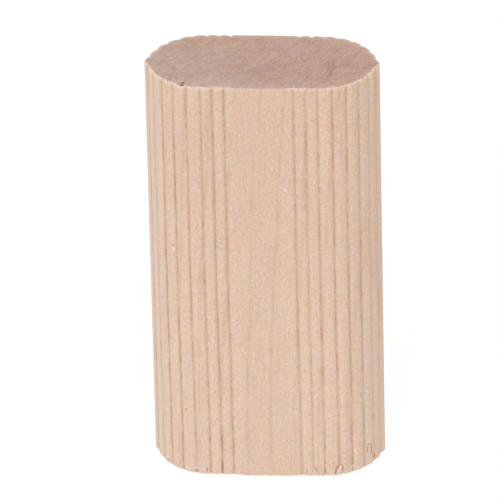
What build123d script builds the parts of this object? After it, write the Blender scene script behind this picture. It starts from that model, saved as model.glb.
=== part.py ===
"""Loose tenon: a short length of reeded wood moulding, sawn square at both ends.

The section is a slot shape with a plain cheek in the middle of each wide face. From the cheek to
each narrow edge the surface is covered in reeds: round beads with a sharp glue groove between
neighbours. Width runs along X, thickness along Y and the grain along Z, with the tenon standing on
one end at the origin.
"""

import os

from build123d import *

# Overall sizes, measured over the crowns of the reeds
tenon_width = 22.225
tenon_thickness = 9.525
tenon_length = 44.45

# Plain cheek, measured between the two grooves that border it
cheek_width = 6.56

# Reeds on the flat beside each end of a cheek
cheek_reed_pitch = 1.12
cheek_reed_count = 2

# Reeds round each corner, spaced evenly along one arc
corner_reed_count = 5

# Rise of a reed's crown above the line that joins its two grooves
reed_height = 0.22

# One wider reed runs down the middle of each narrow edge
edge_reed_width = 1.42
edge_reed_height = 0.45

# Places in the first quarter of the section
half_width = tenon_width / 2
half_thickness = tenon_thickness / 2
groove_level = half_thickness - reed_height
cheek_groove = cheek_width / 2
cheek_shoulder = cheek_groove - cheek_reed_pitch / 2
corner_start = cheek_groove + cheek_reed_count * cheek_reed_pitch
edge_groove = (half_width - edge_reed_height, edge_reed_width / 2)

with BuildPart() as tenon:
    with BuildSketch(Plane.XY) as section:
        with BuildLine():
            # The cheek ends in half a reed that rolls over into the first groove
            cheek = Line((0, half_thickness), (cheek_shoulder, half_thickness))
            TangentArc(cheek @ 1, (cheek_groove, groove_level), tangent=cheek % 1)

            # Groove bottoms: a straight row beside the cheek, then along the corner's arc
            corner = TangentArc(
                (corner_start, groove_level), edge_groove, tangent=cheek % 1, mode=Mode.PRIVATE
            )
            grooves = [
                Vector(cheek_groove + reed * cheek_reed_pitch, groove_level)
                for reed in range(cheek_reed_count)
            ]
            grooves += [
                corner @ (reed / corner_reed_count) for reed in range(corner_reed_count + 1)
            ]
            for groove, next_groove in zip(grooves, grooves[1:]):
                SagittaArc(groove, next_groove, reed_height)

            # Half of the edge reed, square to the section's long axis at its crown
            TangentArc((half_width, 0), edge_groove, tangent=(0, 1))

            mirror(about=Plane.YZ)
            mirror(about=Plane.XZ)
        make_face()
    extrude(amount=tenon_length)

tenon.part.label = "tenon"

os.makedirs("parts", exist_ok=True)
export_step(tenon.part, "parts/tenon.step")
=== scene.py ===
"""Loose tenon of reeded beech, standing on its sawn foot.

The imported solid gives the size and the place. The piece made here stands for it and adds what the
moulder and the saw leave on real wood: reeds that waver a little, grooves of uneven depth, a broken
arris at both ends, torn fibres round the foot, and beech with its growth lines, fibres and end grain.
"""

import logging
import math
from dataclasses import dataclass, field
from enum import Enum
from typing import Iterable, Sequence

import bmesh
import bpy
from mathutils import Matrix, Vector, noise
from mathutils.kdtree import KDTree


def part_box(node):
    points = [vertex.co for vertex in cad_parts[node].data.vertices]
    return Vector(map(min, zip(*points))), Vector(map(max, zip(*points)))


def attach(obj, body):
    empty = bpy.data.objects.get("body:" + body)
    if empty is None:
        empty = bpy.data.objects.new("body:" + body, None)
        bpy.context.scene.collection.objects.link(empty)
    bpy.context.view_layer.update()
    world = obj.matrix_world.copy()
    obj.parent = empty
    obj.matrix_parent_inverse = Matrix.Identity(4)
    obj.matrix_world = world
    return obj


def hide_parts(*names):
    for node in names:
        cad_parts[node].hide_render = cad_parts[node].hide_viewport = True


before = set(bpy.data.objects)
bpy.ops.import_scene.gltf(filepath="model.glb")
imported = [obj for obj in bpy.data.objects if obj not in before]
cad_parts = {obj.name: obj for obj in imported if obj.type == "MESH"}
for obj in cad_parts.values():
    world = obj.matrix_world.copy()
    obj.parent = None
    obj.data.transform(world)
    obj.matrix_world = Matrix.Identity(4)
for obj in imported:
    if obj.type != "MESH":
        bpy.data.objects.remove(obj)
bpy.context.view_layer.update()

MM = 0.001
NODE = "tenon"
BODY = "root"
WHITE = (1.0, 1.0, 1.0, 1.0)
LOG = logging.getLogger("tenon")

Node = bpy.types.Node
Socket = bpy.types.NodeSocket
NodeTree = bpy.types.NodeTree
Value = float | tuple | Socket
Place = tuple[float, float, float]
# The two numbers to map from, and the two to map to where these aren't 0 and 1
Span = tuple[float, ...]


def limited(value: float, low: float = 0.0, high: float = 1.0) -> float:
    """Keeps a number from low to high."""
    return min(high, max(low, value))


def even_noise(*place: float) -> float:
    """Reads smooth noise at a place, from 0 to 1."""
    return 0.5 + 0.5 * noise.noise(place)


def search_tree(places: Sequence[Vector]) -> KDTree:
    """Sorts points for quick search.

    Args:
        places: The points, which are numbered in their order.

    Returns:
        The search tree.
    """
    tree = KDTree(len(places))
    for index, place in enumerate(places):
        tree.insert(place, index)
    tree.balance()
    return tree


def filled_circle(name: str, count: int, radius: float) -> bpy.types.Object:
    """Adds a filled circle and opens it for editing.

    Args:
        name: The new object's name.
        count: How many points the circle has.
        radius: Its radius.

    Returns:
        The new object.
    """
    bpy.ops.object.select_all(action="DESELECT")
    bpy.ops.mesh.primitive_circle_add(vertices=count, radius=radius, fill_type="NGON", enter_editmode=True)
    made = bpy.context.object
    made.name = name
    made.data.name = name
    return made


class Wood(Enum):
    """The kinds of surface on the tenon, in the order of its material slots."""

    LONG_GRAIN = 0
    END_GRAIN = 1
    TORN_FIBRE = 2


class Stain(Enum):
    """What a flaw does to the colour, by the attribute that it is noted in."""

    DARK = "stain"
    PALE = "fuzz"


@dataclass(frozen=True)
class Tone:
    """A colour as it is seen, in levels from 0 to 255."""

    red: float
    green: float
    blue: float

    def linear(self) -> tuple[float, float, float, float]:
        """Gives the colour as the linear values that shaders take, by the sRGB curve.

        Returns:
            Red, green, blue and full cover.
        """
        shares = [level / 255 for level in (self.red, self.green, self.blue)]
        curve = [s / 12.92 if s <= 0.04045 else ((s + 0.055) / 1.055) ** 2.4 for s in shares]
        return (*curve, 1.0)


@dataclass(frozen=True)
class Streak:
    """Soft streaks along the grain: their size in millimetres and their share of what they are in."""

    width: float
    length: float
    share: float = 1.0


@dataclass(frozen=True)
class Fleck:
    """Scattered flecks along the grain: tone, size in millimetres, share of places and strength."""

    tone: Tone
    width: float
    length: float
    scatter: float
    strength: float


@dataclass(frozen=True)
class EndMark:
    """A mark across the sawn head, or strokes of one size: lean in degrees, size in millimetres."""

    lean: float
    length: float
    width: float
    share: float = 1.0
    place: tuple[float, float] = (0.0, 0.0)


class NodeSheet:
    """A node tree, with short calls to add nodes to it and join them."""

    def __init__(self, tree: NodeTree) -> None:
        """Takes the tree of a material, a world or a node group, and clears it."""
        self.tree = tree
        tree.nodes.clear()

    def add(self, kind: str, *values: Value, **settings: object) -> Node:
        """Adds one node.

        Args:
            kind: The node's type name.
            values: What its first inputs take, in order.
            settings: Values for the node's own properties.

        Returns:
            The new node.
        """
        node = self.tree.nodes.new(kind)
        for name, value in settings.items():
            setattr(node, name, value)
        for target, value in zip(node.inputs, values):
            self.feed(target, value)
        return node

    def feed(self, target: Socket, value: Value) -> None:
        """Joins a socket to an input, or sets the input if the value is a constant.

        Args:
            target: The input socket.
            value: An output socket, a number or a tuple.
        """
        if isinstance(value, Socket):
            self.tree.links.new(value, target)
        else:
            target.default_value = value

    def fill(self, node: Node, inputs: dict[str, Value]) -> Node:
        """Feeds a node's inputs by their names.

        Args:
            node: The node.
            inputs: What each named input takes.

        Returns:
            The same node.
        """
        for name, value in inputs.items():
            self.feed(node.inputs[name], value)
        return node

    def math(self, operation: str, *values: Value, clamp: bool = False) -> Socket:
        """Works out a sum of numbers, kept from 0 to 1 if clamp is set."""
        return self.add("ShaderNodeMath", *values, operation=operation, use_clamp=clamp).outputs[0]

    def vector_math(self, operation: str, *values: Value, result: str = "Vector") -> Socket:
        """Works out a sum of vectors, and gives its Vector or its Value."""
        return self.add("ShaderNodeVectorMath", *values, operation=operation).outputs[result]

    def remap(self, *values: Value) -> Socket:
        """Maps a number from a low and a high one to 0 and 1, or to two given ones, by a smooth curve."""
        node = self.add("ShaderNodeMapRange", *values, interpolation_type="SMOOTHSTEP", clamp=True)
        return node.outputs["Result"]

    def spread(self, *values: Value) -> Socket:
        """Maps a number from a low and a high one to 0 and 1 by a straight line."""
        return self.add("ShaderNodeMapRange", *values, clamp=True).outputs["Result"]

    def mix(self, factor: Value, first: Value, second: Value, blend: str = "MIX") -> Socket:
        """Mixes two colours.

        Args:
            factor: The share of the second colour.
            first: The colour at 0.
            second: The colour at 1.
            blend: How the two are put together.

        Returns:
            The mixed colour's socket.
        """
        node = self.add("ShaderNodeMix", factor, data_type="RGBA", blend_type=blend)
        colours = [socket for socket in node.inputs if socket.type == "RGBA"]
        for target, colour in zip(colours, (first, second)):
            self.feed(target, colour)
        return next(socket for socket in node.outputs if socket.type == "RGBA")

    def blend(self, share: Value, first: Tone, second: Tone) -> Socket:
        """Mixes two tones by the share of the second."""
        return self.mix(share, first.linear(), second.linear())

    def noise(self, vector: Value, detail: float = 1.0, scale: float = 1.0, rough: float = 0.5) -> Socket:
        """Reads noise from 0 to 1, with some detail of finer layers, which are as strong as rough says."""
        inputs = {"Vector": vector, "Scale": scale, "Detail": detail, "Roughness": rough}
        return self.fill(self.add("ShaderNodeTexNoise"), inputs).outputs["Fac"]

    def group(self, tree: NodeTree, **inputs: Value) -> Socket:
        """Places a node group, feeds its inputs by name and gives its result."""
        return self.fill(self.add("ShaderNodeGroup", node_tree=tree), inputs).outputs[0]


class GroupSheet(NodeSheet):
    """The sheet of a new node group, which reads a place on the tenon and gives one result."""

    def __init__(self, name: str, numbers: Iterable[str], result: str, kind: str = "Float") -> None:
        """Starts the group.

        Args:
            name: The group's name.
            numbers: The names of its inputs besides Place.
            result: The name of its result.
            kind: What the result is, Float or Color.
        """
        super().__init__(bpy.data.node_groups.new(name, "ShaderNodeTree"))
        sockets = [("Place", "INPUT", "Vector")]
        sockets += [(number, "INPUT", "Float") for number in numbers]
        sockets.append((result, "OUTPUT", kind))
        for title, direction, sort in sockets:
            self.tree.interface.new_socket(title, in_out=direction, socket_type=f"NodeSocket{sort}")
        self.given = self.add("NodeGroupInput").outputs
        self.result = self.add("NodeGroupOutput").inputs[0]

    def stretched_place(self) -> Socket:
        """Divides the Place input by the Width and Length inputs, so that cells run along the grain.

        Returns:
            The stretched place's socket.
        """
        width, length = self.given["Width"], self.given["Length"]
        size = self.add("ShaderNodeCombineXYZ", width, width, length).outputs[0]
        return self.vector_math("DIVIDE", self.given["Place"], size)

    def close(self, value: Socket) -> NodeTree:
        """Gives the group its result, and returns the finished tree."""
        self.feed(self.result, value)
        return self.tree


class SurfaceSheet(NodeSheet):
    """The sheet of a new material, with its shader and the place on the tenon in millimetres."""

    spot_span: Span = (0.2, 1.0, 1.0, 0.0)

    def __init__(self, name: str, roughness: float, gloss: float) -> None:
        """Starts the material.

        Args:
            name: The material's name.
            roughness: How rough the whole surface is.
            gloss: The shader's specular level.
        """
        self.material = bpy.data.materials.new(name)
        self.material.use_nodes = True
        super().__init__(self.material.node_tree)
        looks = {"Roughness": roughness, "Specular IOR Level": gloss}
        self.shader = self.fill(self.add("ShaderNodeBsdfPrincipled"), looks)
        self.add("ShaderNodeOutputMaterial", self.shader.outputs[0])
        here = self.add("ShaderNodeTexCoord").outputs["Object"]
        self.place = self.vector_math("MULTIPLY", here, (1 / MM, 1 / MM, 1 / MM))
        self.axes = self.add("ShaderNodeSeparateXYZ", self.place).outputs

    def attribute(self, name: str) -> Socket:
        """Reads one of the tenon's own attributes."""
        return self.add("ShaderNodeAttribute", attribute_name=name).outputs["Fac"]

    def sized(self, tree: NodeTree, size: Streak | Fleck, **inputs: Value) -> Socket:
        """Places a node group that reads the place and a width and a length."""
        return self.group(tree, Place=self.place, Width=size.width, Length=size.length, **inputs)

    def layered(self, *layers: tuple[Socket, float]) -> Socket:
        """Adds up layers.

        Args:
            layers: Each layer and its share.

        Returns:
            The sum's socket.
        """
        total: Value = 0.0
        for layer, share in layers:
            total = self.math("MULTIPLY_ADD", layer, share, total)
        return total

    def cover(self, colour: Value, tone: Tone, *shares: Value) -> Socket:
        """Lays a tone over a colour.

        Args:
            colour: The colour below.
            tone: The tone to lay over it.
            shares: Masks and numbers that are multiplied to give the tone's share.

        Returns:
            The mixed colour's socket.
        """
        share = shares[0]
        for further in shares[1:]:
            share = self.math("MULTIPLY", share, further)
        return self.mix(share, colour, tone.linear())

    def tinted(self, colour: Value, tree: NodeTree, patches: Iterable[Streak]) -> Socket:
        """Multiplies a colour by patches of tint.

        Args:
            colour: The colour below.
            tree: The tints' node group.
            patches: The sizes of the patches and their shares.

        Returns:
            The tinted colour's socket.
        """
        for patch in patches:
            colour = self.mix(patch.share, colour, self.sized(tree, patch), "MULTIPLY")
        return colour

    def flecked(self, colour: Value, tree: NodeTree, fleck: Fleck, *shares: Value) -> Socket:
        """Scatters flecks over a colour from the flecks' node group, where further masks let them."""
        mask = self.sized(tree, fleck, Share=fleck.scatter)
        return self.cover(colour, fleck.tone, mask, *shares, fleck.strength)

    def turned(self, mark: EndMark) -> Socket:
        """Turns the place about a mark's centre and measures it in lengths and widths of the mark.

        Args:
            mark: The mark.

        Returns:
            The turned place's socket.
        """
        lean = math.radians(mark.lean)
        along = (math.cos(lean), math.sin(lean), 0.0)
        across = (-along[1], along[0], 0.0)
        offset = self.vector_math("SUBTRACT", self.place, (*mark.place, 0.0))
        reaches = []
        for direction, size in ((along, mark.length), (across, mark.width)):
            reach = self.vector_math("DOT_PRODUCT", offset, direction, result="Value")
            reaches.append(self.math("DIVIDE", reach, size))
        return self.add("ShaderNodeCombineXYZ", *reaches).outputs[0]

    def spot(self, mark: EndMark) -> Socket:
        """Gives a mask that is 1 in a mark's middle and falls to 0 at its border."""
        away = self.vector_math("LENGTH", self.turned(mark), result="Value")
        return self.remap(away, *self.spot_span)

    def close(self, colour: Socket, height: Socket | None = None, depth: float = 0.0) -> bpy.types.Material:
        """Gives the material its colour and a fine relief.

        Args:
            colour: The colour.
            height: The relief's height from 0 to 1, if it has one.
            depth: How deep the relief is, in metres.

        Returns:
            The finished material.
        """
        self.feed(self.shader.inputs["Base Color"], colour)
        if height is not None:
            bump = self.fill(self.add("ShaderNodeBump"), {"Distance": depth, "Height": height})
            self.feed(self.shader.inputs["Normal"], bump.outputs[0])
        return self.material


@dataclass
class BeechGroups:
    """The node groups that every beech surface is coloured from. Lengths in them are millimetres."""

    ring_spacing: float = 2.35
    ring_lean: float = -0.65
    ring_drift: float = 2.05
    ring_drift_power: float = 1.6
    ring_waver: float = 0.9
    waver_scale: Place = (0.25, 0.25, 0.06)
    line_width: float = 0.14
    drift_length: float = 44.45
    fleck_span: Span = (0.1, 0.45, 1.0, 0.0)
    tint_shift: Place = (31.0, 17.0, 5.0)
    tint_rough: float = 0.6
    tint_span: Span = (0.25, 0.75)
    cool: Tone = Tone(243, 251, 255)
    warm: Tone = Tone(255, 250, 227)
    leafy: Tone = Tone(246, 255, 246)
    rosy: Tone = Tone(255, 245, 253)
    rings: NodeTree = field(init=False)
    fibres: NodeTree = field(init=False)
    flecks: NodeTree = field(init=False)
    tints: NodeTree = field(init=False)

    def __post_init__(self) -> None:
        """Builds the groups."""
        self.rings = self.growth_rings()
        self.fibres = self.fibre_streaks()
        self.flecks = self.scattered_flecks()
        self.tints = self.tint_patches()

    def growth_rings(self) -> NodeTree:
        """Builds the thin dark lines between one year's wood and the next.

        Returns:
            The group, with the output Line.
        """
        sheet = GroupSheet("growth_rings", (), "Line")
        place = sheet.given["Place"]
        across = sheet.vector_math("DOT_PRODUCT", place, (1.0, self.ring_lean, 0.0), result="Value")
        height = sheet.add("ShaderNodeSeparateXYZ", place).outputs["Z"]
        risen = sheet.math("DIVIDE", height, self.drift_length, clamp=True)
        drift = sheet.math("MULTIPLY", sheet.math("POWER", risen, self.ring_drift_power), self.ring_drift)
        waver = sheet.noise(sheet.vector_math("MULTIPLY", place, self.waver_scale), detail=2.0)
        years = sheet.math("SUBTRACT", across, drift)
        years = sheet.math("MULTIPLY_ADD", sheet.math("SUBTRACT", waver, 0.5), self.ring_waver, years)
        years = sheet.math("FRACT", sheet.math("DIVIDE", years, self.ring_spacing))
        from_line = sheet.math("ABSOLUTE", sheet.math("SUBTRACT", years, 0.5))
        return sheet.close(sheet.remap(from_line, 0.0, self.line_width, 1.0, 0.0))

    @staticmethod
    def fibre_streaks() -> NodeTree:
        """Builds soft streaks along the grain, with the output Streak, mostly near the middle of 0 to 1."""
        sheet = GroupSheet("fibre_streaks", ("Width", "Length"), "Streak")
        return sheet.close(sheet.noise(sheet.stretched_place()))

    def scattered_flecks(self) -> NodeTree:
        """Builds short flecks: lens shapes along the grain, in a share of the cells.

        Returns:
            The group, with the output Mask.
        """
        sheet = GroupSheet("scattered_flecks", ("Width", "Length", "Share"), "Mask")
        inputs = {"Vector": sheet.stretched_place(), "Scale": 1.0}
        cells = sheet.fill(sheet.add("ShaderNodeTexVoronoi"), inputs).outputs
        luck = sheet.add("ShaderNodeSeparateColor", cells["Color"]).outputs[0]
        chosen = sheet.math("LESS_THAN", luck, sheet.given["Share"])
        return sheet.close(sheet.math("MULTIPLY", sheet.remap(cells["Distance"], *self.fleck_span), chosen))

    def tint_patches(self) -> NodeTree:
        """Builds faint patches of warmer, cooler, rosier and greener wood.

        Returns:
            The group, with the output Tint, a colour to multiply the wood's own colour by.
        """
        sheet = GroupSheet("tint_patches", ("Width", "Length"), "Tint", "Color")
        place = sheet.stretched_place()
        elsewhere = sheet.vector_math("ADD", place, self.tint_shift)
        hues = []
        for where, first, second in ((place, self.cool, self.warm), (elsewhere, self.leafy, self.rosy)):
            patches = sheet.spread(sheet.noise(where, detail=2.0, rough=self.tint_rough), *self.tint_span)
            hues.append(sheet.blend(patches, first, second))
        return sheet.close(sheet.mix(1.0, *hues, "MULTIPLY"))


@dataclass(frozen=True)
class LongGrain:
    """Moulded side grain: pale beech with fine streaks and growth lines, grooves browned with dirt and
    painted shade, painted light by height and a painted pale sheen on the side corners.
    """

    groups: BeechGroups
    light: Tone = Tone(255, 229, 218)
    shade: Tone = Tone(209, 170, 143)
    cheek: Tone = Tone(212, 180, 154)
    late: Tone = Tone(198, 154, 126)
    # Groove tones: browner dirt and painted shade in the hollows; rust is also a fleck tone
    groove: Tone = Tone(197, 165, 139)
    rust: Tone = Tone(206, 168, 139)
    # Pale grey painted sheen on the side corners
    ash: Tone = Tone(229, 211, 202)
    stain: Tone = Tone(166, 120, 95)
    fuzz: Tone = Tone(250, 230, 218)
    # Fine grain: torn fibres that give way to chatter marks in patches, and speckle, strands and bands
    torn: Streak = Streak(0.08, 0.6)
    ripple: Streak = Streak(0.3, 0.17)
    chatter: Streak = Streak(2.5, 5.0)
    chatter_span: Span = (0.4, 0.6)
    finer_share: float = 0.36
    layers: tuple[Streak, ...] = (Streak(0.1, 0.28, 0.4), Streak(0.1, 5.0, 0.15), Streak(0.5, 5.0, 0.1))
    grain_span: Span = (0.19, 0.81)
    # Painted light by height: paler towards the foot, a little darker at the head
    head_height: float = 44.0
    foot_height: float = 2.0
    head_painted_shade: float = -0.015
    foot_painted_light: float = 0.055
    # What lies over the fine grain
    tints: tuple[Streak, ...] = (Streak(0.9, 1.8, 0.6), Streak(0.26, 0.4, 0.35))
    flecks: tuple[Fleck, ...] = (
        Fleck(late, 0.24, 1.2, scatter=0.05, strength=0.3),
        Fleck(rust, 0.3, 0.5, scatter=0.03, strength=0.6),
        Fleck(fuzz, 0.26, 0.42, scatter=0.01, strength=0.45),
    )
    mottle: Streak = Streak(0.55, 1.3)
    breaks: Streak = Streak(0.5, 2.6)
    bits: Streak = Streak(0.4, 0.7, 0.35)
    cheek_share: float = 0.2
    line_span: Span = (0.35, 0.65, 0.25, 1.0)
    line_share: float = 0.28
    rust_span: Span = (0.4, 0.6)
    groove_dirt_shade_span: Span = (0.3, 0.7, 0.42, 1.0)
    # Pale fuzz with a painted highlight along the rims and the rubbed front crowns
    bits_span: Span = (0.55, 0.7)
    rim_fuzz_highlight_span: Span = (0.35, 0.6)
    rim_fuzz_highlight_share: float = 0.46
    # Painted pale sheen on both side corners, stronger on the left
    painted_sheen_from: float = 8.6
    painted_sheen_full: float = 10.6
    left_painted_sheen: float = 0.42
    right_painted_sheen: float = 0.1
    roughness: float = 0.8
    gloss: float = 0.06
    relief_depth: float = 0.012 * MM

    def material(self) -> bpy.types.Material:
        """Builds the material.

        Returns:
            The finished material.
        """
        sheet = SurfaceSheet("moulded_long_grain", self.roughness, self.gloss)
        grain = self.grain(sheet)
        # Painted light by height: paler towards the foot, a little darker at the head
        heights = (self.head_height, self.foot_height)
        painted_light_by_height = sheet.remap(sheet.axes["Z"], *heights, self.head_painted_shade, self.foot_painted_light)
        shown = sheet.spread(sheet.math("ADD", grain, painted_light_by_height), *self.grain_span)
        colour = sheet.blend(shown, self.shade, self.light)
        colour = sheet.tinted(colour, self.groups.tints, self.tints)
        colour = sheet.cover(colour, self.cheek, sheet.attribute("cheek"), self.cheek_share)
        line = sheet.group(self.groups.rings, Place=sheet.place)
        breaks = self.streaks(sheet, self.breaks)
        colour = sheet.cover(colour, self.late, line, sheet.remap(breaks, *self.line_span), self.line_share)
        for fleck in self.flecks:
            colour = sheet.flecked(colour, self.groups.flecks, fleck)
        # Painted pale sheen on the side corners, stronger on the left
        for side, share in ((-1, self.left_painted_sheen), (1, self.right_painted_sheen)):
            corner = sheet.remap(sheet.axes["X"], side * self.painted_sheen_from, side * self.painted_sheen_full)
            colour = sheet.cover(colour, self.ash, corner, share)

        # Grooves: browner dirt and painted shade, broken along their length
        mottle = self.streaks(sheet, self.mottle)
        groove_dirt_and_shade_tone = sheet.blend(sheet.remap(mottle, *self.rust_span), self.groove, self.rust)
        groove = sheet.attribute("groove")
        share = sheet.math("MULTIPLY", groove, sheet.remap(breaks, *self.groove_dirt_shade_span))
        colour = sheet.mix(share, colour, groove_dirt_and_shade_tone)
        bits = sheet.remap(self.streaks(sheet, self.bits), *self.bits_span)
        # Stain bits add to the grooves' dirt and painted shade; the rim note lays pale fuzz with a painted
        # highlight
        for tone, *shares in (
            (self.stain, groove, bits, self.bits.share),
            (self.fuzz, sheet.attribute("rim_fuzz_and_highlight"), sheet.remap(mottle, *self.rim_fuzz_highlight_span), self.rim_fuzz_highlight_share),
            (self.fuzz, sheet.attribute("fuzz")),
            (self.stain, sheet.attribute("stain")),
        ):
            colour = sheet.cover(colour, tone, *shares)
        return sheet.close(colour, grain, self.relief_depth)

    def grain(self, sheet: SurfaceSheet) -> Socket:
        """Lays the fine grain together.

        Args:
            sheet: The material's sheet.

        Returns:
            The grain's socket, from 0 to 1.
        """
        torn = self.streaks(sheet, self.torn)
        rippled = sheet.math("SUBTRACT", self.streaks(sheet, self.ripple), torn)
        chatter = sheet.remap(self.streaks(sheet, self.chatter), *self.chatter_span)
        finer = sheet.math("MULTIPLY_ADD", chatter, rippled, torn)
        others = [(self.streaks(sheet, layer), layer.share) for layer in self.layers]
        return sheet.layered((finer, self.finer_share), *others)

    def streaks(self, sheet: SurfaceSheet, size: Streak) -> Socket:
        """Places soft streaks of one size."""
        return sheet.sized(self.groups.fibres, size)


END_MARKS = (
    # Tail of the nick in the rim on the left
    EndMark(lean=66, length=0.52, width=0.22, share=0.8, place=(-7.17, -3.92)),
    # Two reddish spots near the rim on the right
    EndMark(lean=60, length=0.26, width=0.16, share=0.45, place=(6.06, -3.42)),
    EndMark(lean=20, length=0.24, width=0.16, share=0.45, place=(6.86, -3.68)),
)


@dataclass(frozen=True)
class EndGrain:
    """Sawn end grain: darker and greyer than the sides, speckled, with faint rings and saw streaks."""

    groups: BeechGroups
    light: Tone = Tone(229, 196, 189)
    shade: Tone = Tone(173, 137, 121)
    ash: Tone = Tone(196, 182, 180)
    pore: Tone = Tone(140, 108, 94)
    stain: Tone = Tone(152, 99, 88)
    fuzz: Tone = Tone(226, 204, 196)
    # Pale orange fuzz and painted highlight along the back rim
    arris: Tone = Tone(238, 207, 180)
    # Fine grain
    speckle: EndMark = EndMark(lean=72, length=0.33, width=0.19, share=0.38)
    strokes: EndMark = EndMark(lean=57, length=1.1, width=0.2, share=0.2)
    clumps: EndMark = EndMark(lean=57, length=1.2, width=0.7, share=0.36)
    drift_scale: float = 0.3
    drift_share: float = 0.2
    grain_span: Span = (0.3, 0.86)
    tints: tuple[Streak, ...] = (Streak(1.4, 4.0, 0.65), Streak(0.4, 4.0, 0.2))
    # What lies over the fine grain
    ash_lean: Place = (-0.075, -0.09, 0.0)
    ash_span: Span = (0.0, 0.6)
    ash_share: float = 0.26
    blot_scale: float = 1.5
    blot_span: Span = (0.5, 0.7)
    blot_share: float = 0.35
    front_span: Span = (-2.8, -4.4)
    front_share: float = 0.13
    patch_span: Span = (0.4, 0.6)
    line_share: float = 0.12
    pores: Fleck = Fleck(pore, 0.22, 4.0, scatter=0.25, strength=0.3)
    scorch: EndMark = EndMark(lean=85, length=2.4, width=0.55, share=0.6, place=(6.53, -1.25))
    licks: EndMark = EndMark(lean=85, length=1.3, width=0.16)
    licks_span: Span = (0.35, 0.65)
    marks: tuple[EndMark, ...] = END_MARKS
    # Pale fuzz with a painted highlight along the rims
    rim_fuzz_highlight_span: Span = (0.35, 0.65)
    rim_fuzz_highlight_share: float = 0.65
    # Share of the back rim's pale fuzz and painted highlight
    back_highlight_share: float = 0.95
    roughness: float = 0.9
    gloss: float = 0.06
    relief_depth: float = 0.03 * MM

    def material(self) -> bpy.types.Material:
        """Builds the material.

        Returns:
            The finished material.
        """
        sheet = SurfaceSheet("sawn_end_grain", self.roughness, self.gloss)
        speckle = sheet.noise(sheet.turned(self.speckle))
        strokes = sheet.noise(sheet.turned(self.strokes))
        clumps = sheet.noise(sheet.turned(self.clumps), detail=2.0)
        drifts = sheet.noise(sheet.place, detail=2.0, scale=self.drift_scale)
        grain = sheet.layered(
            (speckle, self.speckle.share),
            (strokes, self.strokes.share),
            (clumps, self.clumps.share),
            (drifts, self.drift_share),
        )
        colour = sheet.blend(sheet.spread(grain, *self.grain_span), self.shade, self.light)
        colour = sheet.tinted(colour, self.groups.tints, self.tints)

        lean = sheet.vector_math("DOT_PRODUCT", sheet.place, self.ash_lean, result="Value")
        lean = sheet.math("ADD", lean, sheet.math("SUBTRACT", drifts, 0.5))
        greyed = sheet.remap(lean, *self.ash_span)
        blots = sheet.noise(sheet.place, detail=2.0, scale=self.blot_scale)
        blots = sheet.remap(blots, *self.blot_span)
        line = sheet.group(self.groups.rings, Place=sheet.place)
        for tone, *shares in (
            (self.ash, greyed, self.ash_share),
            (self.shade, greyed, blots, self.blot_share),
            (self.fuzz, sheet.remap(sheet.axes["Y"], *self.front_span), self.front_share),
            (self.pore, line, sheet.remap(clumps, *self.patch_span), self.line_share),
        ):
            colour = sheet.cover(colour, tone, *shares)
        patches = sheet.remap(strokes, *self.patch_span)
        colour = sheet.flecked(colour, self.groups.flecks, self.pores, patches)

        licks = sheet.spread(sheet.noise(sheet.turned(self.licks)), *self.licks_span)
        for tone, *shares in (
            (self.pore, sheet.spot(self.scorch), licks, self.scorch.share),
            *((self.stain, sheet.spot(mark), mark.share) for mark in self.marks),
            # Pale fuzz with a painted highlight along the rims
            (self.fuzz, sheet.attribute("rim_fuzz_and_highlight"), sheet.remap(speckle, *self.rim_fuzz_highlight_span), self.rim_fuzz_highlight_share),
            # Pale orange fuzz and painted highlight along the back rim
            (self.arris, sheet.attribute("back"), self.back_highlight_share),
            (self.stain, sheet.attribute("stain")),
        ):
            colour = sheet.cover(colour, tone, *shares)
        return sheet.close(colour, grain, self.relief_depth)


@dataclass(frozen=True)
class TornFibre:
    """Loose fibres torn up by the saw: the palest beech, with a fine streak."""

    groups: BeechGroups
    light: Tone = Tone(243, 222, 210)
    shade: Tone = Tone(226, 198, 182)
    streaks: Streak = Streak(0.06, 0.8)
    streak_span: Span = (0.35, 0.7)
    roughness: float = 0.8
    gloss: float = 0.06

    def material(self) -> bpy.types.Material:
        """Builds the material.

        Returns:
            The finished material.
        """
        sheet = SurfaceSheet("torn_fibre", self.roughness, self.gloss)
        streaks = sheet.remap(sheet.sized(self.groups.fibres, self.streaks), *self.streak_span)
        return sheet.close(sheet.blend(streaks, self.light, self.shade))


@dataclass(frozen=True)
class OutlinePoint:
    """A point of the section, the way the surface faces there, and its nearest groove."""

    place: Vector
    outward: Vector
    from_groove: float
    groove: int


class Outline:
    """The section's points once round, and a quick way to find the one nearest a place."""

    def __init__(self, places: Sequence[Vector], grooves: Sequence[Vector]) -> None:
        """Works out what is noted at each point.

        Args:
            places: The points, in order.
            grooves: The bottoms of all grooves.
        """
        bottoms = search_tree([groove.to_3d() for groove in grooves])
        self.tree = search_tree([place.to_3d() for place in places])
        self.points: list[OutlinePoint] = []
        for index, place in enumerate(places):
            along = (places[(index + 1) % len(places)] - places[index - 1]).normalized()
            outward = Vector((along.y, -along.x))
            if outward.dot(place) < 0:
                outward.negate()
            _, groove, distance = bottoms.find(place.to_3d())
            self.points.append(OutlinePoint(place, outward, distance, groove))

    def nearest(self, place: Vector) -> tuple[OutlinePoint, float]:
        """Finds the outline point nearest a place, whatever its height, and the distance to it."""
        _, index, distance = self.tree.find((place.x, place.y, 0))
        return self.points[index], distance


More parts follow.
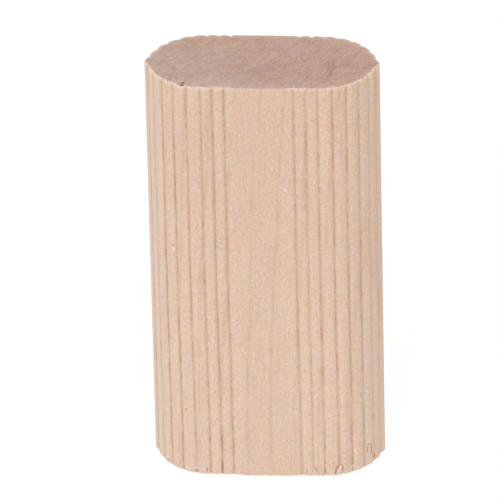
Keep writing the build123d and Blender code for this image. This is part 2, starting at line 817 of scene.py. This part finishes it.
@dataclass
class ReedSection:
    """The tenon's section: plain cheeks, and reeds with sharp grooves round the rest."""

    width: float
    thickness: float
    cheek_width: float = 6.56 * MM
    cheek_reed_pitch: float = 1.12 * MM
    cheek_reed_count: int = 2
    corner_reed_count: int = 5
    reed_height: float = 0.22 * MM
    edge_reed_width: float = 1.42 * MM
    edge_reed_height: float = 0.45 * MM
    facets_per_reed: int = 12
    facets_per_half_cheek: int = 8

    @property
    def corner_start(self) -> float:
        """Where the flat beside the cheek ends and the corner begins."""
        return self.cheek_width / 2 + self.cheek_reed_count * self.cheek_reed_pitch

    def grooves(self) -> list[Vector]:
        """Works out the groove bottoms of one quarter, from the cheek to the narrow edge.

        Returns:
            The groove points, in order.
        """
        level = self.thickness / 2 - self.reed_height
        first = self.cheek_width / 2
        last = self.corner_start
        edge = Vector((self.width / 2 - self.edge_reed_height, self.edge_reed_width / 2))
        run = edge.x - last
        drop = level - edge.y
        radius = (run**2 + drop**2) / (2 * drop)
        turn = 2 * math.atan2(drop, run)
        row = [Vector((first + reed * self.cheek_reed_pitch, level)) for reed in range(self.cheek_reed_count)]
        for reed in range(self.corner_reed_count + 1):
            angle = turn * reed / self.corner_reed_count
            row.append(Vector((last + radius * math.sin(angle), level - radius * (1 - math.cos(angle)))))
        return row

    def bead(self, start: Vector, end: Vector, rise: float) -> list[Vector]:
        """Works out the round of one reed, with its points closest together beside the grooves.

        Args:
            start: The groove where the reed begins.
            end: The groove where it ends, with the wood on the right of the way there.
            rise: How far the crown stands above the line between the grooves.

        Returns:
            The points, from start to end.
        """
        chord = end - start
        across = Vector((-chord.y, chord.x)).normalized()
        radius = (chord.length_squared / 4 + rise**2) / (2 * rise)
        centre = (start + end) / 2 + across * (rise - radius)
        reach = math.asin(min(1.0, chord.length / 2 / radius))
        along = chord.normalized()
        points = []
        for step in range(self.facets_per_reed + 1):
            angle = -reach * math.cos(math.pi * step / self.facets_per_reed)
            points.append(centre + radius * (across * math.cos(angle) + along * math.sin(angle)))
        return points

    def quarter(self) -> list[Vector]:
        """Works out one quarter of the outline, from the cheek's middle to the edge reed's crown.

        Returns:
            The quarter's points, in order.
        """
        grooves = self.grooves()
        before = grooves[0] - Vector((self.cheek_reed_pitch, 0))
        half = self.facets_per_reed // 2
        shoulder = self.bead(before, grooves[0], self.reed_height)[half:]
        steps = self.facets_per_half_cheek
        line = [Vector((shoulder[0].x * step / steps, shoulder[0].y)) for step in range(steps)] + shoulder
        for start, end in zip(grooves, grooves[1:]):
            line += self.bead(start, end, self.reed_height)[1:]
        edge = grooves[-1]
        line += self.bead(edge, Vector((edge.x, -edge.y)), self.edge_reed_height)[1 : half + 1]
        return line

    def outline(self) -> Outline:
        """Works out the whole outline by mirroring the quarter.

        Returns:
            The outline, once round the section.
        """
        quarter = self.quarter()
        there = quarter[:-1]
        back = quarter[:0:-1]
        places = []
        grooves = []
        for side, face, run in ((1, 1, there), (1, -1, back), (-1, -1, there), (-1, 1, back)):
            places += [Vector((place.x * side, place.y * face)) for place in run]
            grooves += [Vector((place.x * side, place.y * face)) for place in self.grooves()]
        return Outline(places, grooves)


@dataclass(frozen=True)
class Flaw:
    """A small fault that the cutter or the saw left: a slit, a pit or a speck. Lengths are millimetres."""

    place: Place
    across: float
    along: float
    depth: float = 0.0
    sink: float = 0.0
    stain: Stain = Stain.DARK
    strength: float = 1.0
    lean: float = 0.0

    @property
    def centre(self) -> Vector:
        """The flaw's middle, in metres."""
        return Vector(self.place) * MM

    @property
    def reach(self) -> float:
        """How far the flaw reaches at most."""
        return math.hypot(self.across, self.along)

    def touch(self, point: Vector, run: Vector, margin: float = 0.0) -> float:
        """Tells how strongly the flaw touches a point.

        Args:
            point: The point, in metres.
            run: Which way the section runs at the flaw.
            margin: How far to move the flaw's border outwards.

        Returns:
            1 in the flaw's middle, falling to 0 at its border.
        """
        offset = point / MM - Vector(self.place)
        aside = offset.xy.length if self.sink else offset.xy.dot(run) - self.lean * offset.z
        return max(0.0, 1 - (aside / (self.across + margin)) ** 2 - (offset.z / (self.along + margin)) ** 2)


FLAWS = (
    # Crack in a groove left of the front cheek, in two runs above the foot
    Flaw((-4.32, -4.61, 4.03), across=0.08, along=1.3, depth=0.03, strength=0.15),
    Flaw((-4.29, -4.62, 0.86), across=0.075, along=1.0, depth=0.06, strength=0.55),
    # Slit and lifted fibre below the head on the right, rust in the edge groove, dots beside the cheek
    Flaw((7.6, -4.31, 43.5), across=0.075, along=0.8, depth=0.04, strength=0.34, lean=0.12),
    Flaw((7.84, -4.2, 43.5), across=0.09, along=0.5, stain=Stain.PALE, strength=0.2, lean=0.1),
    Flaw((10.76, -0.66, 42.5), across=0.16, along=2.2, strength=0.09),
    Flaw((3.76, -4.76, 44.15), across=0.1, along=0.14, strength=0.5),
    Flaw((3.92, -4.76, 43.6), across=0.09, along=0.12, strength=0.4),
    # Nick in the head's rim on the left, deepest at the rim, with a pale lip below it
    Flaw((-7.17, -4.17, 44.45), across=0.19, along=0.2, sink=0.06, strength=0.42),
    Flaw((-7.38, -4.2, 44.45), across=0.16, along=0.16, sink=0.03, strength=0.45),
    Flaw((-7.28, -4.38, 44.2), across=0.5, along=0.12, stain=Stain.PALE, strength=0.12),
    # Torn foot on the right: hollows beside a splinter, darkened with its painted shadow, slits, a lifted
    # flake and pale flecks
    Flaw((6.7, -4.46, 0.6), across=0.1, along=0.65, depth=0.1, strength=0.46, lean=0.2),
    Flaw((7.35, -4.36, 0.7), across=0.09, along=0.5, depth=0.08, strength=0.42, lean=0.05),
    Flaw((3.9, -4.76, 0.58), across=0.09, along=0.35, depth=0.05, strength=0.45),
    Flaw((4.76, -4.74, 0.64), across=0.1, along=0.42, depth=0.08, strength=0.5),
    Flaw((5.6, -4.58, 0.58), across=0.09, along=0.4, depth=0.06, strength=0.4),
    Flaw((4.62, -4.69, 0.44), across=0.12, along=0.3, stain=Stain.PALE, strength=0.6),
    Flaw((9.61, -2.86, 1.96), across=0.06, along=0.55, depth=0.03, strength=0.7),
    Flaw((9.8, -2.69, 2.5), across=0.25, along=0.07, depth=0.03, strength=0.7),
    Flaw((9.95, -2.49, 1.9), across=0.06, along=0.6, depth=0.03, strength=0.7),
    Flaw((10.22, -1.89, 0.6), across=0.1, along=0.35, depth=0.08, strength=0.5),
    Flaw((8.5, -3.79, 2.49), across=0.06, along=0.32, stain=Stain.PALE, strength=0.9),
    Flaw((8.59, -3.76, 2.02), across=0.06, along=0.2, stain=Stain.PALE, strength=0.7),
    Flaw((8.2, -3.85, 0.6), across=0.22, along=0.16, stain=Stain.PALE, strength=0.4),
    Flaw((8.72, -3.69, 0.44), across=0.16, along=0.14, stain=Stain.PALE, strength=0.4),
    # Torn foot on the left: a pit, brown spots and a pale loop
    Flaw((-5.73, -4.62, 0.6), across=0.085, along=0.3, depth=0.06, strength=0.55),
    Flaw((-5.28, -4.7, 0.66), across=0.1, along=0.22, stain=Stain.PALE, strength=0.45),
    Flaw((-9.62, -2.86, 0.41), across=0.12, along=0.18, depth=0.06, strength=0.45),
    Flaw((-10.09, -2.07, 0.53), across=0.1, along=0.16, depth=0.06, strength=0.4),
    Flaw((-6.84, -4.47, 0.58), across=0.3, along=0.1, stain=Stain.PALE, strength=0.8),
    Flaw((-6.85, -4.39, 0.3), across=0.2, along=0.08, depth=0.04, strength=0.45),
    Flaw((-7.7, -4.26, 0.5), across=0.36, along=0.15, stain=Stain.PALE, strength=0.5),
    Flaw((-8.1, -3.88, 0.6), across=0.045, along=0.17, stain=Stain.PALE, strength=1.0, lean=-0.5),
    Flaw((-8.23, -3.85, 1.1), across=0.05, along=0.24, depth=0.03, strength=0.45),
    Flaw((-8.44, -3.81, 0.72), across=0.06, along=0.3, depth=0.03, strength=0.35),
    # Specks along the body
    Flaw((-7.72, -4.26, 7.33), across=0.09, along=0.18, depth=0.04, strength=0.7),
    Flaw((-8.49, -3.8, 26.03), across=0.09, along=0.18, depth=0.04, strength=0.6),
    Flaw((-8.49, -3.8, 25.67), across=0.12, along=0.16, stain=Stain.PALE, strength=0.9),
    Flaw((-9.36, -3.0, 24.68), across=0.08, along=0.5, depth=0.04, strength=0.4),
    Flaw((2.32, -4.76, 33.1), across=0.1, along=0.2, stain=Stain.PALE, strength=0.9),
)


@dataclass(frozen=True)
class Sliver:
    """A torn fibre that lies on the surface or stands off it. Lengths are millimetres."""

    root: Place
    tip: Place
    width: float
    thickness: float
    bow: float = 0.0
    sides: int = 6
    steps: int = 5
    taper: float = 0.72

    def build(self, outline: Outline) -> bpy.types.Object:
        """Draws the sliver out of a small circle, from its root to its tip.

        Args:
            outline: The section that it grows from.

        Returns:
            The sliver.
        """
        root = Vector(self.root) * MM
        tip = Vector(self.tip) * MM
        outward = outline.nearest(root)[0].outward.to_3d()
        sliver = filled_circle("torn_sliver", self.sides, MM / 2)
        bpy.ops.mesh.select_all(action="SELECT")
        origin = (0.0, 0.0, 0.0)
        bpy.ops.transform.resize(value=(self.width, self.thickness, 1), center_override=origin)
        turn = math.atan2(outward.y, outward.x) - math.pi / 2
        bpy.ops.transform.rotate(value=-turn, orient_axis="Z", center_override=origin)
        bpy.ops.transform.translate(value=root)
        centre = root.copy()
        for step in range(1, self.steps + 1):
            share = step / self.steps
            bulge = outward * self.bow * MM * math.sin(math.pi * share)
            goal = root.lerp(tip, share) + bulge
            bpy.ops.mesh.extrude_region_move(TRANSFORM_OT_translate={"value": goal - centre})
            bpy.ops.transform.resize(value=(self.taper, self.taper, 1), center_override=goal)
            centre = goal
        bpy.ops.mesh.select_all(action="SELECT")
        bpy.ops.mesh.normals_make_consistent(inside=False)
        bpy.ops.object.mode_set(mode="OBJECT")
        return sliver


SLIVERS = (
    # Splinter at the foot on the right, and the fibre on the lifted flake
    Sliver((6.8, -4.43, 0.1), (7.15, -4.47, 1.25), width=0.56, thickness=0.22, bow=0.06, taper=0.9),
    Sliver((7.06, -4.45, 0.7), (7.26, -4.52, 1.3), width=0.2, thickness=0.16, bow=0.06),
    Sliver((10.1, -2.25, 0.9), (10.08, -2.47, 2.0), width=0.17, thickness=0.12, bow=0.05, taper=0.94),
    # Fuzz at the foot on the left
    Sliver((-8.21, -3.9, 0.55), (-8.11, -3.98, 0.95), width=0.1, thickness=0.08, bow=0.06),
    Sliver((-8.13, -3.94, 0.6), (-8.01, -4.08, 0.5), width=0.1, thickness=0.08, bow=0.08),
    Sliver((-6.91, -4.46, 0.42), (-6.65, -4.57, 0.62), width=0.1, thickness=0.08, bow=0.06),
    # Lip of the nick in the head's rim
    Sliver((-7.6, -4.25, 44.18), (-6.8, -4.49, 44.3), width=0.08, thickness=0.06, bow=0.03),
)


@dataclass
class ReededTenon:
    """The tenon itself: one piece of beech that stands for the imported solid."""

    low: Vector
    high: Vector
    groups: BeechGroups
    flaws: Sequence[Flaw] = FLAWS
    slivers: Sequence[Sliver] = SLIVERS
    # Ends and stretches of the mesh
    foot_arris: float = 0.04 * MM
    head_arris: float = 0.08 * MM
    arris_steps: int = 2
    end_bands: tuple[float, float] = (0.25 * MM, 0.35 * MM)
    foot_zone: float = 2.6 * MM
    head_zone: float = 1.8 * MM
    foot_rings: int = 19
    body_rings: int = 84
    head_rings: int = 13
    slack: float = 0.004 * MM
    doubles_below: float = 0.00004 * MM
    sawn_above: float = 0.99
    smooth_below: float = math.radians(50)
    # How fine the mesh gets round the flaws
    flaw_passes: int = 3
    flaw_margin: float = 0.12
    flaw_grain: float = 0.06 * MM
    flaw_search: float = 1.5
    # Grooves and crowns. Runs are the lengths of their noise in millimetres, and rows keep it apart.
    groove_reach: float = 0.22 * MM
    groove_waver: float = 0.03 * MM
    groove_bite: float = 0.03 * MM
    groove_drift: float = 0.13 * MM
    drift_from: float = 17 * MM
    crown_hollow: float = 0.012 * MM
    lane_step: float = 7.31
    bite_run: float = 5.0
    waver_run: float = 9.0
    waver_row: float = 40.0
    ripple_run: float = 2.5
    ripple_row: float = 60.0
    ripple_share: float = 0.4
    hollow_run: float = 0.5
    # How dark each groove's dirt and painted shade are, from the cheek outwards
    left_groove_dirt_and_shade: tuple[float, ...] = (0.62, 0.75, 0.75, 0.9, 1.1, 1.2, 0.8, 1.6)
    right_groove_dirt_and_shade: tuple[float, ...] = (0.46, 0.26, 0.6, 0.95, 0.85, 0.85, 0.28, 0.05)
    # Cheeks, rims and wear, with pale fuzz and a painted highlight noted along the rims and the back rim
    cheek_from: float = 0.5 * MM
    cheek_full: float = 1.2 * MM
    skin: float = 0.16 * MM
    # Reach of the pale fuzz and painted highlight along the back rim
    back_turn: float = 1.0 * MM
    back_highlight_reach: float = 0.2 * MM
    rim_raggedness: float = 0.09 * MM
    rag_run: float = 0.35
    rag_row: float = 3.0
    rim_reach: float = 0.16 * MM
    rim_edge_fuzz_and_highlight: float = 0.3
    edge_fade: float = 0.7
    crown_wear: float = 0.09 * MM
    crown_reach: float = 0.5 * MM
    wear_height: float = 0.8 * MM
    front_rub: float = 0.15 * MM
    rub_height: float = 0.4 * MM
    rub_turn: float = 2 * MM
    saw_slope: float = 0.012
    section: ReedSection = field(init=False)
    outline: Outline = field(init=False)
    piece: bpy.types.Object = field(init=False)

    def __post_init__(self) -> None:
        """Takes the section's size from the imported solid."""
        size = self.high - self.low
        self.section = ReedSection(width=size.x, thickness=size.y)
        self.outline = self.section.outline()

    @property
    def length(self) -> float:
        """The tenon's length along the grain."""
        return self.high.z - self.low.z

    def build(self) -> bpy.types.Object:
        """Makes the piece from its section to its finish.

        Returns:
            The finished object.
        """
        self.lay_out_section()
        self.run_moulding()
        self.saw_ends()
        self.refine_flaws()
        self.roughen()
        self.mark_flaws()
        self.dress()
        self.add_slivers()
        self.lean_ends()
        self.tie()
        return self.piece

    def take_up(self, *others: bpy.types.Object) -> None:
        """Selects the piece and makes it active.

        Args:
            others: What is selected with it.
        """
        bpy.ops.object.select_all(action="DESELECT")
        for item in (self.piece, *others):
            item.select_set(True)
        bpy.context.view_layer.objects.active = self.piece

    def note(self, notes: dict[str, list[float]]) -> None:
        """Keeps values on the piece's points for the finishes.

        Args:
            notes: The values by the names that the finishes read.
        """
        for name, values in notes.items():
            self.piece.data.attributes.new(name, "FLOAT", "POINT").data.foreach_set("value", values)
        self.piece.data.update()

    def lay_out_section(self) -> None:
        """Adds a filled circle and sets its points on the reeded outline, just above the foot."""
        points = self.outline.points
        self.piece = filled_circle("reeded_tenon", len(points), self.section.width / 2)
        mesh = bmesh.from_edit_mesh(self.piece.data)
        for vert, point in zip(mesh.verts, points):
            vert.co = (point.place.x, point.place.y, self.low.z + self.foot_arris)
        bmesh.update_edit_mesh(self.piece.data)
        bpy.ops.mesh.select_all(action="SELECT")

    def run_moulding(self) -> None:
        """Extrudes the section along the grain and cuts each stretch of it into rings."""
        body = self.length - self.foot_arris - self.head_arris - self.foot_zone - self.head_zone
        heights = (self.foot_zone, body, self.head_zone)
        for height in heights:
            bpy.ops.mesh.extrude_region_move(TRANSFORM_OT_translate={"value": (0, 0, height)})
        bpy.ops.mesh.select_mode(type="EDGE")
        bottom = self.low.z + self.foot_arris
        for height, rings in zip(heights, (self.foot_rings, self.body_rings, self.head_rings)):
            self.select_upright_edges(bottom, bottom + height)
            bpy.ops.mesh.subdivide(number_cuts=rings)
            bottom += height

    def select_upright_edges(self, bottom: float, top: float) -> None:
        """Selects the edges that run along the grain within a stretch.

        Args:
            bottom: The stretch's lower end.
            top: Its upper end.
        """
        bpy.ops.mesh.select_all(action="DESELECT")
        mesh = bmesh.from_edit_mesh(self.piece.data)
        for edge in mesh.edges:
            lower, upper = sorted(vert.co.z for vert in edge.verts)
            inside = lower > bottom - self.slack and upper < top + self.slack
            edge.select_set(inside and upper - lower > self.slack)
        mesh.select_flush_mode()
        bmesh.update_edit_mesh(self.piece.data)

    def saw_ends(self) -> None:
        """Rounds the arris at both ends by small insets, and gives the sawn faces their slot."""
        bpy.ops.mesh.select_mode(type="FACE")
        bpy.ops.mesh.select_all(action="SELECT")
        bpy.ops.mesh.normals_make_consistent(inside=False)
        for direction, arris in ((-1, self.foot_arris), (1, self.head_arris)):
            self.select_end(direction)
            previous = 0.0
            for step in range(1, self.arris_steps + 1):
                angle = math.pi / 2 * step / self.arris_steps
                inset = arris * (math.cos(previous) - math.cos(angle))
                rise = arris * (math.sin(angle) - math.sin(previous))
                bpy.ops.mesh.inset(thickness=inset, depth=rise)
                previous = angle
            for band in self.end_bands:
                bpy.ops.mesh.inset(thickness=band)
        bpy.ops.mesh.select_all(action="SELECT")
        bpy.ops.mesh.remove_doubles(threshold=self.doubles_below)
        bpy.ops.mesh.normals_make_consistent(inside=False)
        bpy.ops.object.mode_set(mode="OBJECT")
        for face in self.piece.data.polygons:
            wood = Wood.END_GRAIN if abs(face.normal.z) > self.sawn_above else Wood.LONG_GRAIN
            face.material_index = wood.value

    def select_end(self, direction: int) -> None:
        """Selects the face that closes one end.

        Args:
            direction: 1 for the head and -1 for the foot.
        """
        bpy.ops.mesh.select_all(action="DESELECT")
        mesh = bmesh.from_edit_mesh(self.piece.data)
        caps = [face for face in mesh.faces if len(face.verts) > 4 and face.normal.z * direction > 0]
        max(caps, key=lambda face: face.calc_center_median().z * direction).select_set(True)
        mesh.select_flush_mode()
        bmesh.update_edit_mesh(self.piece.data)

    def refine_flaws(self) -> None:
        """Cuts the faces round each flaw finer, until their edges are short enough to carry it."""
        self.take_up()
        bpy.ops.object.mode_set(mode="EDIT")
        bpy.ops.mesh.select_mode(type="FACE")
        for _ in range(self.flaw_passes):
            bpy.ops.mesh.select_all(action="DESELECT")
            mesh = bmesh.from_edit_mesh(self.piece.data)
            mesh.faces.ensure_lookup_table()
            centres = search_tree([face.calc_center_median() for face in mesh.faces])
            for flaw in self.flaws:
                run = self.run_at(flaw.centre)
                for centre, index, _ in centres.find_range(flaw.centre, (flaw.reach + self.flaw_margin) * MM):
                    face = mesh.faces[index]
                    coarse = max(edge.calc_length() for edge in face.edges) > self.flaw_grain
                    if coarse and len(face.verts) <= 4 and flaw.touch(centre, run, self.flaw_margin) > 0:
                        face.select_set(True)
            bmesh.update_edit_mesh(self.piece.data)
            bpy.ops.mesh.subdivide(number_cuts=1, ngon=False)
        bpy.ops.object.mode_set(mode="OBJECT")

    def roughen(self) -> None:
        """Moves the points as the cutter and the saw left them, and notes on them the grooves' dirt and
        painted shade, the cheeks, and pale fuzz with a painted highlight along the rims.
        """
        verts = self.piece.data.vertices
        notes = {name: [0.0] * len(verts) for name in ("groove", "rim_fuzz_and_highlight", "cheek", "back")}
        for vert in verts:
            place = vert.co.copy()
            point, distance = self.outline.nearest(place)
            # Pale fuzz and painted highlight along the back rim of the sawn ends
            behind = limited(place.y / self.back_turn)
            notes["back"][vert.index] = behind * math.exp(-distance / self.back_highlight_reach)
            if distance > self.skin:
                continue
            near = max(0.0, 1 - point.from_groove / self.groove_reach)
            edge = max(0.0, 1 - min(place.z - self.low.z, self.high.z - place.z) / self.rim_reach)
            cheek = limited((point.from_groove - self.cheek_from) / (self.cheek_full - self.cheek_from))
            crown = min(1.0, point.from_groove / self.crown_reach) * (1 - cheek)
            top = max(0.0, 1 - (self.high.z - place.z) / self.rub_height)
            rubbed = top * limited(0.5 - place.y / self.rub_turn)

            lane = point.groove * self.lane_step
            wide, deep, tall = place / MM
            bite = even_noise(lane, 0.0, tall / self.bite_run)
            waver = noise.noise((lane, self.waver_row, tall / self.waver_run))
            waver += self.ripple_share * noise.noise((lane, self.ripple_row, tall / self.ripple_run))
            hollow = even_noise(wide / self.hollow_run, deep / self.hollow_run, tall / self.bite_run)
            inward = near * bite * self.groove_bite + (1 - near) * hollow * self.crown_hollow
            inward += crown * rubbed**2 * self.front_rub
            drift = self.groove_drift * max(0.0, 1 - place.z / self.drift_from) ** 0.5
            run = self.run_at(place)
            move = run * (near * waver * self.groove_waver + drift * run.x) - point.outward * inward
            vert.co.x = limited(place.x + move.x, self.low.x, self.high.x)
            vert.co.y = limited(place.y + move.y, self.low.y, self.high.y)
            if edge > 0:
                ragged = even_noise(wide / self.rag_run, deep / self.rag_run, self.rag_row * round(tall))
                towards_middle = 1 if place.z < self.length / 2 else -1
                vert.co.z += towards_middle * edge * ragged * self.rim_raggedness
            vert.co.z += crown * self.crown_wear * max(0.0, 1 - (place.z - self.low.z) / self.wear_height)

            # Groove note: dirt and painted shade; rim note: pale fuzz with a painted highlight
            shade = self.groove_dirt_and_shade(point.groove)
            notes["cheek"][vert.index] = cheek
            notes["groove"][vert.index] = near * shade * (1 - self.edge_fade * edge)
            notes["rim_fuzz_and_highlight"][vert.index] = max(self.rim_edge_fuzz_and_highlight * edge, rubbed * (1 - cheek))
        self.note(notes)

    def run_at(self, place: Vector) -> Vector:
        """Tells which way the section runs round the tenon at a point, leaving out the reeds.

        Args:
            place: The point.

        Returns:
            The direction, of length 1.
        """
        corner = self.section.corner_start
        outward = Vector((place.x - limited(place.x, -corner, corner), place.y)).normalized()
        return Vector((-outward.y, outward.x))

    def groove_dirt_and_shade(self, groove: int) -> float:
        """Tells how dark a groove's dirt and painted shade are. Left and right values take turns round the
        four corners.
        """
        corner, place = divmod(groove, len(self.left_groove_dirt_and_shade))
        return (self.left_groove_dirt_and_shade, self.right_groove_dirt_and_shade)[corner % 2][place]

    def mark_flaws(self) -> None:
        """Presses each flaw into the surface and notes its colour."""
        verts = self.piece.data.vertices
        notes = {stain.value: [0.0] * len(verts) for stain in Stain}
        tree = search_tree([vert.co for vert in verts])
        for flaw in self.flaws:
            run = self.run_at(flaw.centre)
            noted = notes[flaw.stain.value]
            for place, index, _ in tree.find_range(flaw.centre, flaw.reach * MM * self.flaw_search):
                touch = flaw.touch(place, run)
                if touch > 0:
                    outward = self.outline.nearest(place)[0].outward.to_3d()
                    verts[index].co -= outward * touch * flaw.depth * MM
                    verts[index].co.z -= touch * flaw.sink * MM
                    noted[index] = max(noted[index], touch**0.5 * flaw.strength)
        self.note(notes)

    def dress(self) -> None:
        """Gives the piece its finishes, and keeps the border of the sawn ends crisp."""
        mesh = self.piece.data
        for finish in (LongGrain(self.groups), EndGrain(self.groups), TornFibre(self.groups)):
            mesh.materials.append(finish.material())
        self.take_up()
        bpy.ops.object.shade_smooth_by_angle(angle=self.smooth_below)
        ends = [face for face in mesh.polygons if face.material_index == Wood.END_GRAIN.value]
        sawn = {key for face in ends for key in face.edge_keys}
        for edge in mesh.edges:
            if edge.key in sawn:
                edge.use_edge_sharp = True

    def add_slivers(self) -> None:
        """Makes the torn fibres and joins them to the piece."""
        torn = self.piece.data.materials[Wood.TORN_FIBRE.value]
        made = []
        for sliver in self.slivers:
            fibre = sliver.build(self.outline)
            fibre.data.materials.append(torn)
            bpy.ops.object.shade_smooth()
            made.append(fibre)
        self.take_up(*made)
        bpy.ops.object.join()

    def lean_ends(self) -> None:
        """Leans both sawn ends a little out of square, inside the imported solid's length."""
        lost = self.saw_slope * self.section.width
        for vert in self.piece.data.vertices:
            share = (vert.co.z - self.low.z) / self.length
            vert.co.z += self.saw_slope * (vert.co.x - self.low.x) - lost * share
        self.piece.data.update()

    def tie(self) -> None:
        """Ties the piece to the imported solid."""
        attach(self.piece, BODY)
        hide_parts(NODE)


@dataclass(frozen=True)
class PhotoCamera:
    """The camera at the photograph's viewing angle."""

    azimuth: float = math.radians(4.901)
    elevation: float = math.radians(33.449)
    roll: float = math.radians(-1.344)
    distance: float = 912.78 * MM
    lens: float = 689.04
    target: Vector = field(default_factory=lambda: Vector((-1.5345 * MM, 0.0, 23.0244 * MM)))
    clip_start: float = 10 * MM
    clip_end: float = 10.0

    def build(self) -> None:
        """Adds the camera and makes it the scene's own."""
        right = Vector((math.cos(self.azimuth), math.sin(self.azimuth), 0.0))
        flat = math.cos(self.elevation)
        back = Vector((right.y * flat, -right.x * flat, math.sin(self.elevation)))
        turn = Matrix((right, back.cross(right), back)).transposed() @ Matrix.Rotation(self.roll, 3, "Z")
        place = self.target + back * self.distance
        bpy.ops.object.camera_add(location=place, rotation=turn.to_euler())
        camera = bpy.context.object
        camera.name = "photo_camera"
        camera.data.lens = self.lens
        camera.data.clip_start = self.clip_start
        camera.data.clip_end = self.clip_end
        bpy.context.scene.camera = camera


@dataclass(frozen=True)
class SoftLamp:
    """A soft square lamp that shines on the tenon."""

    name: str
    place: Vector
    size: float
    power: float

    def build(self, aim: Vector) -> None:
        """Adds the lamp.

        Args:
            aim: The point that it faces.
        """
        turn = (aim - self.place).to_track_quat("-Z", "Y")
        bpy.ops.object.light_add(type="AREA", location=self.place, rotation=turn.to_euler())
        lamp = bpy.context.object
        lamp.name = self.name
        lamp.data.size = self.size
        lamp.data.energy = self.power


@dataclass
class Studio:
    """A pale floor, a white surround and soft lamps."""

    floor_size: float = 0.6
    floor_shade: float = 0.2
    floor_shown: float = 0.84
    floor_light: float = 0.66
    surround: float = 0.82
    lamps: Sequence[SoftLamp] = (
        SoftLamp("key_left", place=Vector((-0.165, -0.455, 0.375)), size=0.3, power=0.85),
    )

    def build(self, aim: Vector) -> None:
        """Adds the floor, the surround and the lamps.

        Args:
            aim: The point that the lamps face.
        """
        self.floor()
        self.world()
        for lamp in self.lamps:
            lamp.build(aim)

    @staticmethod
    def seen(sheet: NodeSheet) -> Socket:
        """Tells the rays that show the backdrop from those that light the tenon.

        Args:
            sheet: The sheet of the floor or the world.

        Returns:
            1 for camera, mirror and see-through rays, and 0 for the rest.
        """
        path = sheet.add("ShaderNodeLightPath").outputs
        straight = sheet.math("MAXIMUM", path["Is Camera Ray"], path["Is Glossy Ray"])
        return sheet.math("MAXIMUM", straight, path["Is Transmission Ray"])

    def floor(self) -> None:
        """Adds the floor, which looks white and keeps a soft shadow."""
        bpy.ops.mesh.primitive_plane_add(size=self.floor_size)
        floor = bpy.context.object
        floor.name = "floor"
        material = bpy.data.materials.new("pale_floor")
        material.use_nodes = True
        sheet = NodeSheet(material.node_tree)
        shade = self.floor_shade
        plain = sheet.add("ShaderNodeBsdfDiffuse", (shade, shade, shade, 1.0))
        gain = self.floor_shown - self.floor_light
        level = sheet.math("MULTIPLY_ADD", self.seen(sheet), gain, self.floor_light)
        glow = sheet.add("ShaderNodeEmission", WHITE, level)
        both = sheet.add("ShaderNodeAddShader", plain.outputs[0], glow.outputs[0])
        sheet.add("ShaderNodeOutputMaterial", both.outputs[0])
        floor.data.materials.append(material)

    def world(self) -> None:
        """Sets a white surround that lights the tenon softly."""
        world = bpy.data.worlds.new("white_surround")
        world.use_nodes = True
        sheet = NodeSheet(world.node_tree)
        light = sheet.add("ShaderNodeBackground", WHITE, self.surround)
        white = sheet.add("ShaderNodeBackground", WHITE, 1.0)
        choice = sheet.add("ShaderNodeMixShader", self.seen(sheet), light.outputs[0], white.outputs[0])
        sheet.add("ShaderNodeOutputWorld", choice.outputs[0])
        bpy.context.scene.world = world


def main() -> None:
    """Builds the tenon, the studio and the camera, and reports each piece."""
    logging.basicConfig(level=logging.INFO)
    bpy.context.scene.view_settings.view_transform = "Standard"
    low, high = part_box(NODE)
    groups = BeechGroups()
    piece = ReededTenon(low, high, groups).build()
    LOG.info("%s: %d faces", piece.name, len(piece.data.polygons))
    Studio().build((low + high) / 2)
    LOG.info("studio: floor, surround and lamps")
    PhotoCamera().build()
    LOG.info("camera: at the photograph's angle")


if __name__ == "__main__":
    main()
